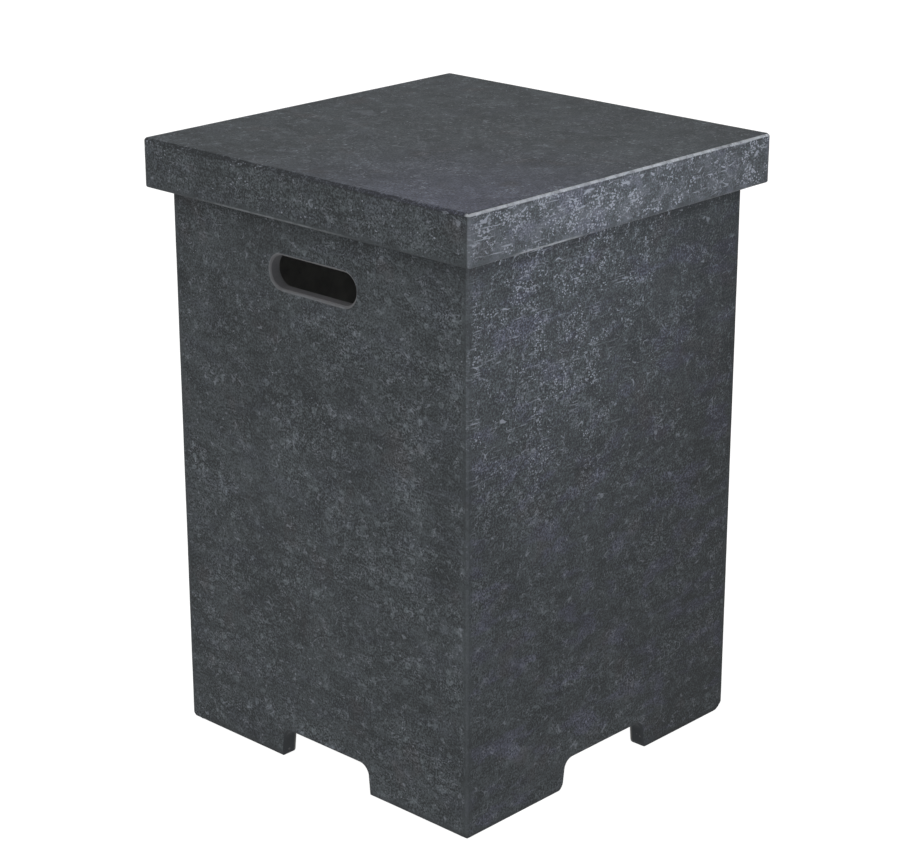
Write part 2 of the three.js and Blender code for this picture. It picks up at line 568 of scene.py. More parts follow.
    def distance(self, centre: Place) -> Value:
        """Returns the distance from a centre in millimetres."""
        node = self.tree.nodes.new("ShaderNodeVectorMath")
        node.operation = "DISTANCE"
        self.set(node.inputs[0], self.place)
        self.set(node.inputs[1], centre)
        return node.outputs["Value"]

    def cells(self, place: Value, size: float) -> tuple[Value, Value]:
        """Scatters points at about this spacing.

        Args:
            place: The place in millimetres.
            size: The spacing in millimetres.

        Returns:
            The distance to the nearest point, as a share of the spacing, and a random number of its own.
        """
        node = self.tree.nodes.new("ShaderNodeTexVoronoi")
        self.set(node.inputs["Vector"], place)
        node.inputs["Scale"].default_value = 1 / size
        return node.outputs["Distance"], self.split(node.outputs["Color"])[0]

    def mix(self, share: Value, first: Value, second: Value) -> Value:
        """Returns a blend of two colours."""
        node = self.tree.nodes.new("ShaderNodeMix")
        node.data_type = "RGBA"
        self.set(node.inputs["Factor"], share)
        for name, value in (("A", first), ("B", second)):
            socket = next(s for s in node.inputs if s.name == name and s.type == "RGBA")
            self.set(socket, (*value, 1.0) if isinstance(value, tuple) else value)
        return next(s for s in node.outputs if s.type == "RGBA")

    def bump(self, height: Value, depth: float) -> Value:
        """Adds a Bump node for a height from 0 to 1, this deep in metres, and returns its normal."""
        node = self.tree.nodes.new("ShaderNodeBump")
        node.inputs["Strength"].default_value = 1.0
        node.inputs["Distance"].default_value = depth
        self.set(node.inputs["Height"], height)
        return node.outputs["Normal"]


@dataclass(frozen=True)
class Coat:
    """How the finish lies on a casting, as node outputs from 0 to 1.

    Attributes:
        crown: 1 on the top.
        rough: 1 on textured ground, less in the plain bands, and its own share on the top.
        second: Where the second coat lies, the +X side painted lighter as painted light.
        brush: How heavily the pale paint was dry-brushed.
        slate: Where the stain has its slate-blue tint, stronger on the +X side as painted cool light.
        veil: Where the tint lies evenly, round one corner of the top.
        far: How far back a place is on the +X side, used for painted shade towards the back.
    """

    crown: Value
    rough: Value
    second: Value
    brush: Value
    slate: Value
    veil: Value
    far: Value


@dataclass(frozen=True)
class DotLayer:
    """Round dots scattered at about one spacing, in millimetres.

    Attributes:
        size: The spacing of the dots' places, of which some stay empty.
        shift: Where the layer starts.
        squeeze: Its scale in the level plane, where less than 1 draws the dots out sideways.
        least: The share of the places that has a dot, everywhere.
        brushed: What heavy dry-brushing adds to that share.
        second: What heavy dry-brushing in the second coat, the painted light on the +X side, adds to it.
    """

    size: float
    shift: Place
    squeeze: float
    least: float
    brushed: float
    second: float

    def chance(self, sheet: NodeSheet, coat: Coat) -> Value:
        """Returns the share of the places that has a dot."""
        heavy = sheet.product(coat.brush, coat.second)
        return sheet.total(
            self.least, sheet.product(coat.brush, self.brushed), sheet.product(heavy, self.second)
        )

    def dots(self, sheet: NodeSheet, chance: Value, bend: Value = None) -> Value:
        """Scatters the dots, which come in all sizes and have ragged outlines.

        Args:
            sheet: The material's sheet.
            chance: The share of the places that has a dot.
            bend: A vector that is added to the place, so that drawn-out dots bend.

        Returns:
            1 in a dot, and less at its soft edge.
        """
        full_chance, widest, smallest = 0.28, 0.48, 0.1
        ragged, ragged_size, soft = 0.9, 0.7, 0.2
        place = sheet.moved(self.shift, self.squeeze)
        if bend is not None:
            place = sheet.vector("ADD", place, bend)
        away, lot = sheet.cells(place, self.size)
        wobble = sheet.swing(Pattern(ragged_size * self.size, detail=1.0), place)
        radius = sheet.product(sheet.rise(sheet.less(chance, lot), 0.0, full_chance), widest)
        inside = sheet.less(radius, sheet.line(wobble, away, ragged))
        return sheet.product(sheet.rise(inside, 0.0, soft), sheet.rise(radius, 0.0, smallest))


@dataclass(frozen=True)
class WornAndHighlightSpot:
    """A stretch of a lower arris that hands have worn and that catches light, in millimetres, and how much
    pale ground it shows, as wear and painted highlight.
    """

    place: Place
    reach: float
    wear: float


@dataclass(frozen=True)
class StoneFinish:
    """A stone imprint on cast concrete, with paler paint dry-brushed over its raised grains.

    The dark stain pools in the hollows, the dry brush catches the grains in drifts, and a float has drawn
    level streaks through both. One side has a second coat that paints light where the lamps fall, the
    arrises are worn with painted highlights on some of them, and a band along them was left nearly plain.
    Painted shade darkens the foot, the band under the lid, the top edges and the back of the +X side, and
    painted light brightens the top. Lengths inside the finish are in millimetres, other than the depth of
    its relief.
    """

    name: str
    half_width: float
    bottom: float
    top: float
    # eaves: the lid's lower edge, under which painted shade falls
    eaves: float = 1000.0  # far above the piece, so it has none
    worn_and_highlight_spots: tuple[WornAndHighlightSpot, ...] = ()
    depth: float = 0.4 * MM

    # the colours, and how far each tint goes
    stain: Colour = (0.0318, 0.0367, 0.0397)
    cool: Colour = (0.043, 0.0455, 0.0615)
    warm: Colour = (0.0365, 0.0355, 0.038)
    brushed: Colour = (0.2, 0.215, 0.245)
    # pale ground for worn arrises, also used for painted highlights
    bare: Colour = (0.42, 0.44, 0.46)
    slate_patches: Pattern = Pattern(20, (7, 61, 33), 0.4, 3.0, 0.3, (0.5, 0.66))
    brown_patches: Pattern = Pattern(40, (70, 9, 3), ramp=(0.58, 0.72))
    least_slate: float = 0.15
    # the +X side tinted bluer, painted cool light
    side_painted_cool_light: float = 0.85
    veil_slate: float = 0.9
    least_veil: float = 0.05
    veil_reach: float = 1.5
    brown_share: float = 0.5

    # the gloss and the height
    roughness: float = 0.64
    grain_gloss: float = 0.2
    worn_gloss: float = -0.3
    sheen: float = 0.15
    plain_height: float = 0.1
    grain_height: float = 0.8
    mark_height: float = 0.5

    # where the coats lie, with the second coat painting light on the +X side
    band: float = 8.0
    band_edge: float = 5.0
    band_wander: float = 16.0
    wander: Pattern = Pattern(13)
    band_share: float = 0.3
    top_share: float = 0.95
    crown_ramp: Ramp = (4.0, 2.0)
    side_ramp: Ramp = (3.5, 1.6)
    # the second coat: the +X side painted lighter, with more pale marks and more contrast, as painted light
    # where the lamps fall
    painted_light_spot: Place = (190.0, -110.0, 500.0)
    painted_light_reach: float = 340.0
    painted_light_drift: float = 0.12
    drifts: Pattern = Pattern(30, (21, 8, 55), 0.6, 3.0, 0.3, (0.42, 0.68))
    least_brush: float = 0.35
    far_start: float = -0.4

    # the stain: how light it is, how far each pattern changes that, and the painted light and shade that
    # each place adds
    lightness: float = 0.95
    darkest: float = 0.45
    clouds: Pattern = Pattern(75, (40, 0, 7), 1.0, 3.0, 0.4)
    cloud_strength: float = 0.9
    blotches: Pattern = Pattern(15, (3, 90, 21), 0.75, 3.0, 0.5)
    blotch_strength: float = 0.9
    drags: Pattern = Pattern(7, (8, 3, 44), 0.25, 2.0, 0.4)
    drag_strength: float = 0.85
    blobs: Pattern = Pattern(8.5, (61, 7, 90), 0.8, 1.0, 0.5, (0.58, 0.78))
    blisters: DotLayer = DotLayer(9.0, (13, 2, 71), 1.0, 0.1, 0.45, 0.0)
    blob_strength: float = 0.75
    fine_grains: Pattern = Pattern(1.9, (9, 4, 6), 1.0, 1.0, 0.4)
    fine_height: float = 1.7
    coarse_grains: Pattern = Pattern(3.6, (52, 24, 16), 0.9, 2.0, 0.6)
    coarse_height: float = 0.45
    grain_contrast: float = 2.25
    least_lively: float = 0.45
    # more grain contrast on the second coat's side, painted light
    painted_light_contrast: float = 0.3
    # painted light on the top
    crown_painted_light: float = 0.17
    # painted shade towards the back of the +X side, where the light falls off
    far_painted_shade: float = 0.24
    # painted contact shadow along the foot, which the glowing floor would otherwise light
    foot_painted_shade: float = 0.35
    foot_ramp: Ramp = (-7.0, 0.0)
    # painted shade on the shell just under the lid's skirt, weaker on the front side
    eaves_painted_shade: float = 0.4
    eaves_ramp: Ramp = (19.0, 11.0)
    front_eaves: float = 0.4
    # painted shade on the rounded top edges, against the light that they catch
    top_edge_painted_shade: float = 0.8
    top_edge_ramps: tuple[Ramp, Ramp] = ((5.0, 3.0), (4.0, 3.0))

    # the pale marks
    first_marks: float = 0.6
    # a pale haze on the second coat's side, painted light
    painted_light_wash: float = 0.04
    least_wash: float = 0.6
    washed: Pattern = Pattern(14, (90, 40, 12), 0.7, 3.0, 0.5, (0.42, 0.68))
    speck_strength: float = 0.78
    speck_layers: tuple[DotLayer, ...] = (
        DotLayer(2.0, (0, 0, 0), 0.72, 0.14, 0.24, 0.62),
        DotLayer(3.1, (8, 52, 40), 0.72, 0.04, 0.08, 0.18),
        DotLayer(6.5, (31, 17, 5), 0.72, 0.01, 0.03, 0.04),
    )
    clusters: Pattern = Pattern(17, (44, 3, 19), 0.8, 3.0, 0.6, (0.46, 0.6))
    lone_specks: float = 0.25
    paint: Pattern = Pattern(6, (17, 60, 3), ramp=(0.36, 0.6))
    thin_paint: float = 0.5
    thick_paint: float = 0.6
    crinkle_strength: float = 0.4
    first_crinkles: float = 0.9
    painted_light_crinkles: float = 0.8
    wrinkles: tuple[Pattern, ...] = (
        Pattern(9.0, (33, 14, 6), 0.7, 2.0, 1.1, (0.04, 0.008)),
        Pattern(6.0, (5, 81, 27), 0.7, 2.0, 1.1, (0.045, 0.009)),
    )
    clumps: Pattern = Pattern(12, (12, 66, 31), 1.0, 3.0, 0.5, (0.56, 0.7))
    clump_brush: float = 0.08
    beads: Pattern = Pattern(2.4, (71, 20, 4), 1.0, 1.0, ramp=(0.42, 0.56))
    streak_strength: float = 0.6
    floated: Pattern = Pattern(1.9, (2, 71, 13), 0.07, 2.0, 0.3, (0.58, 0.72))
    floated_patches: Pattern = Pattern(24, (77, 1, 9), 0.6, ramp=(0.5, 0.62))
    floated_share: float = 0.6
    curls: Pattern = Pattern(12, (18, 52, 4), 0.7, 1.0, 0.8, (0.03, 0.008))
    curl_patches: Pattern = Pattern(9, (6, 29, 80), 0.8, 1.0, ramp=(0.62, 0.7))
    strokes: DotLayer = DotLayer(3.6, (19, 33, 2), 0.22, 0.05, 0.0, 0.17)
    stroke_wave: Pattern = Pattern(16, (64, 5, 38), 1.0, 1.0)
    stroke_bend: float = 14.0

    # the worn arrises, with painted highlights on the +X top edge and the lower spots
    arris_reach: float = 3.5
    arris_ramp: Ramp = (0.02, 0.3)
    upright_ramp: Ramp = (0.05, 0.5)
    top_wear: float = 0.0
    shiny_top_wear_and_painted_highlight: float = 0.6
    upright_wear: float = 0.035
    chipped: Pattern = Pattern(11, (1, 2, 3), 1.0, 3.0, ramp=(0.3, 0.6))
    least_chipped: float = 0.4

    def material(self) -> bpy.types.Material:
        """Builds the material."""
        sheet = NodeSheet(self.name)
        coat = self.coat(sheet)
        grains = self.grains(sheet)
        specks = sheet.product(self.specks(sheet, coat), coat.rough)
        crinkles = sheet.product(self.crinkles(sheet, coat), coat.rough)
        streaks = sheet.product(self.streaks(sheet, coat), coat.rough)
        arris = self.arris(sheet)
        colour = sheet.vector("SCALE", self.stained(sheet, coat), scale=self.shade(sheet, grains, coat))
        washed = sheet.total(self.least_wash, sheet.patches(self.washed))
        colour = sheet.mix(sheet.product(coat.second, washed, self.painted_light_wash), colour, self.brushed)
        more = sheet.total(self.first_marks, coat.second)
        crinkled = sheet.line(coat.second, self.first_crinkles, self.painted_light_crinkles)
        marks = sheet.greatest(
            sheet.product(specks, more, self.speck_strength),
            sheet.product(crinkles, crinkled, self.crinkle_strength),
            sheet.product(streaks, more, self.streak_strength),
        )
        colour = sheet.mix(marks, colour, self.brushed)
        gloss = sheet.total(
            self.roughness, sheet.product(grains, self.grain_gloss), sheet.product(arris, self.worn_gloss)
        )
        height = sheet.total(
            sheet.product(grains, sheet.line(coat.rough, self.plain_height, self.grain_height)),
            sheet.product(sheet.greatest(specks, crinkles, streaks), self.mark_height),
        )
        normal = sheet.bump(height, self.depth)
        sheet.cover(sheet.mix(arris, colour, self.bare), gloss, self.sheen, normal)
        return sheet.material

    def coat(self, sheet: NodeSheet) -> Coat:
        """Works out how the finish lies.

        Args:
            sheet: The material's sheet.

        Returns:
            The masks that the rest of the finish follows.
        """
        east, north, level = sheet.split(sheet.place)
        edge, head = self.half_width / MM, self.top / MM
        plain = sheet.product(self.bands(sheet), 1.0 - self.band_share)
        crown = sheet.near(level, head, self.crown_ramp)
        rough = sheet.product(sheet.less(1.0, plain), sheet.line(crown, 1.0, self.top_share - 1.0))
        side = sheet.near(east, edge, self.side_ramp)
        # the second coat's side: painted light
        away = sheet.distance(self.painted_light_spot)
        second = sheet.product(sheet.rise(away, self.painted_light_reach, 0.0), side)
        drifts = sheet.patches(self.drifts, sheet.product(second, self.painted_light_drift))
        brush = sheet.line(drifts, self.least_brush, 1.0 - self.least_brush)
        corner = sheet.rise(sheet.distance((edge, -edge, head)), self.veil_reach * edge, 0.0)
        veil = sheet.product(crown, sheet.line(corner, self.least_veil, 1.0 - self.least_veil))
        # the side's share is painted cool light
        slate = sheet.greatest(self.least_slate, sheet.product(side, self.side_painted_cool_light), veil)
        # the back of the +X side, for painted shade
        far = sheet.product(sheet.rise(north, self.far_start * edge, edge), side)
        return Coat(crown, rough, second, brush, slate, veil, far)

    def bands(self, sheet: NodeSheet) -> Value:
        """Returns 1 in the uneven band along the edges of the sides, which was left nearly plain."""
        east, north, level = sheet.split(sheet.place)
        wander = sheet.product(sheet.swing(self.wander), self.band_wander)
        nearest = sheet.total(sheet.math("MINIMUM", sheet.span(east), sheet.span(north)), wander)
        inner = self.band - self.band_edge
        upright = sheet.near(nearest, self.half_width / MM, (self.band, inner))
        foot = sheet.near(sheet.less(level, wander), self.bottom / MM, (-self.band, -inner))
        return sheet.greatest(upright, foot)

    def grains(self, sheet: NodeSheet) -> Value:
        """Returns the height of the imprint's grains about its mean."""
        return sheet.total(
            sheet.product(sheet.swing(self.fine_grains), self.fine_height),
            sheet.product(sheet.swing(self.coarse_grains), self.coarse_height),
        )

    def shade(self, sheet: NodeSheet, grains: Value, coat: Coat) -> Value:
        """Works out how light the stain is, about 1, from clouds, blobs and grains, with painted shade at
        the foot, under the lid, along the top edges and towards the back, and painted light on the top.

        Args:
            sheet: The material's sheet.
            grains: The height of the imprint.
            coat: How the finish lies.

        Returns:
            The factor on the stain's colour.
        """
        east, north, level = sheet.split(sheet.place)
        edge, head = self.half_width / MM, self.top / MM
        blisters = self.blisters.dots(sheet, self.blisters.chance(sheet, coat))
        blobs = sheet.greatest(sheet.patches(self.blobs), blisters)
        lively = sheet.product(coat.rough, sheet.total(coat.brush, self.least_lively))
        contrast = sheet.line(coat.second, 1.0, self.painted_light_contrast)
        # painted contact shadow just over the sole
        foot = sheet.near(level, self.bottom / MM, self.foot_ramp)
        side = sheet.near(east, edge, self.side_ramp)
        # painted shade under the lid's skirt
        eaves = sheet.near(level, self.eaves / MM, self.eaves_ramp)
        eaves = sheet.product(eaves, sheet.line(side, self.front_eaves, 1.0 - self.front_eaves))
        outer = sheet.greatest(sheet.span(east), sheet.span(north))
        # painted shade along the top edges
        below_top, inside = self.top_edge_ramps
        rim = sheet.product(sheet.near(level, head, below_top), sheet.near(outer, edge, inside))
        parts = [
            sheet.product(sheet.swing(self.clouds), self.cloud_strength),
            sheet.product(sheet.swing(self.blotches), coat.rough, self.blotch_strength),
            sheet.product(sheet.swing(self.drags), coat.rough, self.drag_strength),
            sheet.product(blobs, lively, self.blob_strength),
            sheet.product(grains, lively, contrast, self.grain_contrast),
            # painted shade at the foot, under the lid, along the top edges and towards the back, and painted
            # light on the top
            sheet.product(foot, -self.foot_painted_shade),
            sheet.product(eaves, -self.eaves_painted_shade),
            sheet.product(rim, -self.top_edge_painted_shade),
            sheet.product(coat.crown, self.crown_painted_light),
            sheet.product(coat.far, -self.far_painted_shade),
        ]
        return sheet.greatest(sheet.total(self.lightness, *parts), self.darkest)

    def stained(self, sheet: NodeSheet, coat: Coat) -> Value:
        """Returns the stain's colour, with drawn-out patches of slate blue, and brownish ones."""
        blue = sheet.product(sheet.patches(self.slate_patches), coat.slate, coat.rough)
        blue = sheet.greatest(blue, sheet.product(coat.veil, self.veil_slate))
        brown = sheet.product(sheet.patches(self.brown_patches), self.brown_share)
        return sheet.mix(brown, sheet.mix(blue, self.stain, self.cool), self.warm)

    def specks(self, sheet: NodeSheet, coat: Coat) -> Value:
        """Returns the pale specks where the brush caught the highest grains, in clusters."""
        often = sheet.line(sheet.patches(self.clusters), self.lone_specks, 1.0 - self.lone_specks)
        layers = [
            layer.dots(sheet, sheet.product(layer.chance(sheet, coat), often))
            for layer in self.speck_layers
        ]
        paint = sheet.line(sheet.patches(self.paint), self.thin_paint, self.thick_paint)
        return sheet.product(sheet.greatest(*layers), paint)

    def crinkles(self, sheet: NodeSheet, coat: Coat) -> Value:
        """Returns the fine pale wrinkles that the brush caught, which lie in clumps."""
        wrinkles = sheet.greatest(*(sheet.veins(pattern) for pattern in self.wrinkles))
        clumps = sheet.patches(self.clumps, sheet.product(coat.brush, self.clump_brush))
        return sheet.product(wrinkles, clumps, sheet.patches(self.beads))

    def streaks(self, sheet: NodeSheet, coat: Coat) -> Value:
        """Works out the pale strokes: long level ones from a float, short thick ones, and curls.

        Args:
            sheet: The material's sheet.
            coat: How the finish lies.

        Returns:
            1 in a stroke.
        """
        floated = sheet.product(
            sheet.patches(self.floated),
            sheet.patches(self.floated_patches),
            sheet.total(coat.brush, coat.second),
            self.floated_share,
        )
        curls = sheet.product(sheet.veins(self.curls), sheet.patches(self.curl_patches))
        bend = sheet.vector("MULTIPLY", sheet.swing(self.stroke_wave), (0.0, 0.0, self.stroke_bend))
        strokes = self.strokes.dots(sheet, self.strokes.chance(sheet, coat), bend)
        return sheet.greatest(floated, curls, strokes)

    def arris(self, sheet: NodeSheet) -> Value:
        """Works out how much pale ground shows along the arrises, where two faces of the casting meet, as
        wear and, on the +X top edge and at the lower spots, as painted highlight.

        Args:
            sheet: The material's sheet.

        Returns:
            The share of pale ground.
        """
        east, north, level = sheet.split(sheet.place)
        reach, edge = self.arris_reach, self.half_width / MM
        sides = [sheet.near(sheet.span(part), edge, (reach, 0.0)) for part in (east, north)]
        either = sheet.greatest(*sides)
        head = sheet.product(either, sheet.near(level, self.top / MM, (reach, 0.0)))
        foot = sheet.product(either, sheet.near(level, self.bottom / MM, (-reach, 0.0)))
        # the +X top edge gets a painted highlight as well as wear
        painted_highlight_side = sheet.near(east, edge, (2 * reach, reach))
        worn = sheet.greatest(
            sheet.product(
                sheet.rise(head, *self.arris_ramp),
                sheet.line(painted_highlight_side, self.top_wear, self.shiny_top_wear_and_painted_highlight - self.top_wear),
            ),
            sheet.product(sheet.rise(foot, *self.arris_ramp), self.foot_wear_and_painted_highlight(sheet)),
            sheet.product(sheet.rise(sheet.product(*sides), *self.upright_ramp), self.upright_wear),
        )
        chipped = sheet.line(sheet.patches(self.chipped), self.least_chipped, 1.0 - self.least_chipped)
        return sheet.product(worn, chipped)

    def foot_wear_and_painted_highlight(self, sheet: NodeSheet) -> Value:
        """Returns how much pale ground the lower arrises show, as wear and painted highlight, which is in
        spots.
        """
        core = 0.4
        wear = [0.0]
        for spot in self.worn_and_highlight_spots:
            away = sheet.distance(spot.place)
            wear.append(sheet.product(sheet.rise(away, spot.reach, core * spot.reach), spot.wear))
        return sheet.greatest(*wear)


@dataclass(frozen=True)
class PlainCastFinish:
    """The plain face of a casting that nobody textured: stained where it shows, with painted shade near the
    floor, bare cement inside.
    """

    name: str
    outer: float
    foot_wall: float
    rim_wall: float
    top: float
    stained: Colour = linear(79, 79, 81)
    painted_floor_shade: Colour = linear(37, 40, 43)
    worn: Colour = linear(105, 110, 114)
    cement: Colour = linear(100, 100, 98)
    damp: Colour = linear(82, 83, 82)
    damp_ramp: Ramp = (0.35, 0.65)
    painted_shade_reach: float = 60 * MM
    clouds: Pattern = Pattern(25, detail=4.0)
    darkest: float = 0.75
    cloud_strength: float = 0.5
    stain_ramp: Ramp = (0.5 * MM, 3 * MM)
    rim_ramp: Ramp = (1.8 * MM, 0.5 * MM)
    chipped: Pattern = Pattern(9, (4, 1, 8), ramp=(0.35, 0.65))
    least_worn: float = 0.08
    chip_wear: float = 0.3
    hole_clusters: Pattern = Pattern(30, (5, 5, 5), ramp=(0.45, 0.65))
    hole_spacing: float = 7.0
    hole_radius: float = 0.22
    hole_edge: float = 0.03
    hole_shade: float = 0.6
    hole_height: float = -2.0
    pores: Pattern = Pattern(2.2, detail=3.0)
    roughness: float = 0.8
    sheen: float = 0.3
    depth: float = 0.15 * MM

    def material(self) -> bpy.types.Material:
        """Builds the material."""
        sheet = NodeSheet(self.name)
        clouds = sheet.noise(self.clouds)
        east, north, level = sheet.split(sheet.metres)
        out = sheet.greatest(sheet.span(east), sheet.span(north))
        wall = sheet.line(level, self.foot_wall, (self.rim_wall - self.foot_wall) / self.top)
        depth = sheet.total(sheet.less(out, self.outer), wall)
        # painted shade near the floor on the cut faces
        high = sheet.rise(level, self.painted_shade_reach / 2, self.painted_shade_reach)
        bare = sheet.mix(sheet.rise(clouds, *self.damp_ramp), self.damp, self.cement)
        dark = sheet.mix(high, self.painted_floor_shade, self.stained)
        dark = sheet.vector("SCALE", dark, scale=sheet.line(clouds, self.darkest, self.cloud_strength))
        colour = sheet.mix(sheet.rise(depth, *self.stain_ramp), bare, dark)
        rim = sheet.product(sheet.near(out, self.outer, self.rim_ramp), high)
        wear = sheet.line(sheet.patches(self.chipped), self.least_worn, self.chip_wear)
        colour = sheet.mix(sheet.product(rim, wear), colour, self.worn)
        holes = self.air_holes(sheet)
        colour = sheet.mix(sheet.product(holes, self.hole_shade), colour, self.stained)
        height = sheet.line(holes, sheet.noise(self.pores), self.hole_height)
        sheet.cover(colour, self.roughness, self.sheen, sheet.bump(height, self.depth))
        return sheet.material

    def air_holes(self, sheet: NodeSheet) -> Value:
        """Returns 1 in the small round holes that air leaves against a mould, in loose clusters."""
        radius = sheet.product(sheet.patches(self.hole_clusters), self.hole_radius)
        away, _ = sheet.cells(sheet.place, self.hole_spacing)
        return sheet.rise(sheet.less(away, radius), self.hole_edge, -self.hole_edge)


@dataclass(frozen=True)
class RubberFinish:
    """Matt black moulded rubber with a fine grain and a little dust."""

    name: str = "disc_rubber"
    colour: Colour = linear(27, 27, 29)
    dust: Colour = linear(58, 58, 58)
    dusty: Pattern = Pattern(5, detail=3.0, ramp=(0.5, 0.8))
    grain: Pattern = Pattern(0.5)
    roughness: float = 0.85
    depth: float = 0.05 * MM

    def material(self) -> bpy.types.Material:
        """Builds the material."""
        sheet = NodeSheet(self.name)
        colour = sheet.mix(sheet.patches(self.dusty), self.colour, self.dust)
        normal = sheet.bump(sheet.noise(self.grain), self.depth)
        sheet.cover(colour, self.roughness, normal=normal)
        return sheet.material


def mount(made: bpy.types.Object, body: str, node: str) -> bpy.types.Object:
    """Puts a finished piece on its body, in place of the frame's node, and returns it."""
    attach(made, body)
    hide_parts(node)
    return made


@dataclass
class Casting(ABC):
    """A piece that was cast in one go, with its box in the frame and the relief that its mould gave it.

    Attributes:
        node: The node of the frame that it replaces.
        body: The body that it rides on.
        corner: The radius of its upright arrises, apart from the front one.
        front_corner: The radius of the upright arris between the front and the right side.
        least_relief: How deep the relief is along its edges, as a share.
        relief_reach: How far from its edges the relief has its full depth.
        inner_pitch: The step of the grid in its hollow.
        reliefs: The reliefs, one over the other.
        slot_name: A name for the material slot that it shows, which is not used.
        edge_steps: The steps across each of its rounded edges.
        smooth_angle: The widest angle that still shades as one surface.
        low: The lowest corner of its box.
        high: The highest corner of its box.
    """

    node: str = ""
    body: str = ""
    corner: float = 0.0
    front_corner: float = 0.0
    least_relief: float = 0.0
    relief_reach: float = 0.0
    inner_pitch: float = 14 * MM
    reliefs: tuple[Relief, ...] = ()
    slot_name: str = "cast_concrete"
    edge_steps: int = 4
    smooth_angle: float = math.radians(35)
    low: Vector = field(init=False)
    high: Vector = field(init=False)

    def __post_init__(self) -> None:
        """Reads the piece's box from the frame."""
        self.low, self.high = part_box(self.node)

    @abstractmethod
    def build(self) -> bpy.types.Object:
        """Models the piece, dresses it, puts it on its body and returns it."""

    @abstractmethod
    def level_radius(self, upper: bool) -> float:
        """Returns the radius of the block's upper or lower edges."""

    @abstractmethod
    def relief_weight(self, place: Vector) -> float:
        """Returns how deep the relief is at a place, as a share."""

    def block(self, name: str, face: StoneFinish) -> Workpiece:
        """Returns the block that the piece is cut from, with rounded edges and its outer finish."""
        piece = Workpiece(name, self.low, self.high)
        piece.round_edges(self.edge_radius, self.edge_steps)
        piece.object.data.materials.append(face.material())
        return piece

    def edge_radius(self, start: Vector, end: Vector) -> float:
        """Returns the radius of one of the block's edges."""
        if abs(start.z - end.z) > MM:
            return self.front_corner if start.x > 0 > start.y else self.corner
        return self.level_radius(start.z > (self.low.z + self.high.z) / 2)

    def relief_near_edges(self, place: Vector) -> float:
        """Returns how deep the relief is at a place, as a share that falls off near the edges."""
        aside = self.high.x - min(abs(place.x), abs(place.y))
        nearest = min(aside, place.z - self.low.z, self.high.z - place.z)
        share = min(max(nearest / self.relief_reach, 0), 1)
        return self.least_relief + (1 - self.least_relief) * share

    def complete(self, piece: Workpiece) -> bpy.types.Object:
        """Gives the piece its relief, cleans its mesh and puts it on its body."""
        piece.weigh("relief", self.relief_weight)
        for relief in self.reliefs:
            piece.emboss(relief, "relief")
        return mount(piece.finish(self.smooth_angle), self.body, self.node)


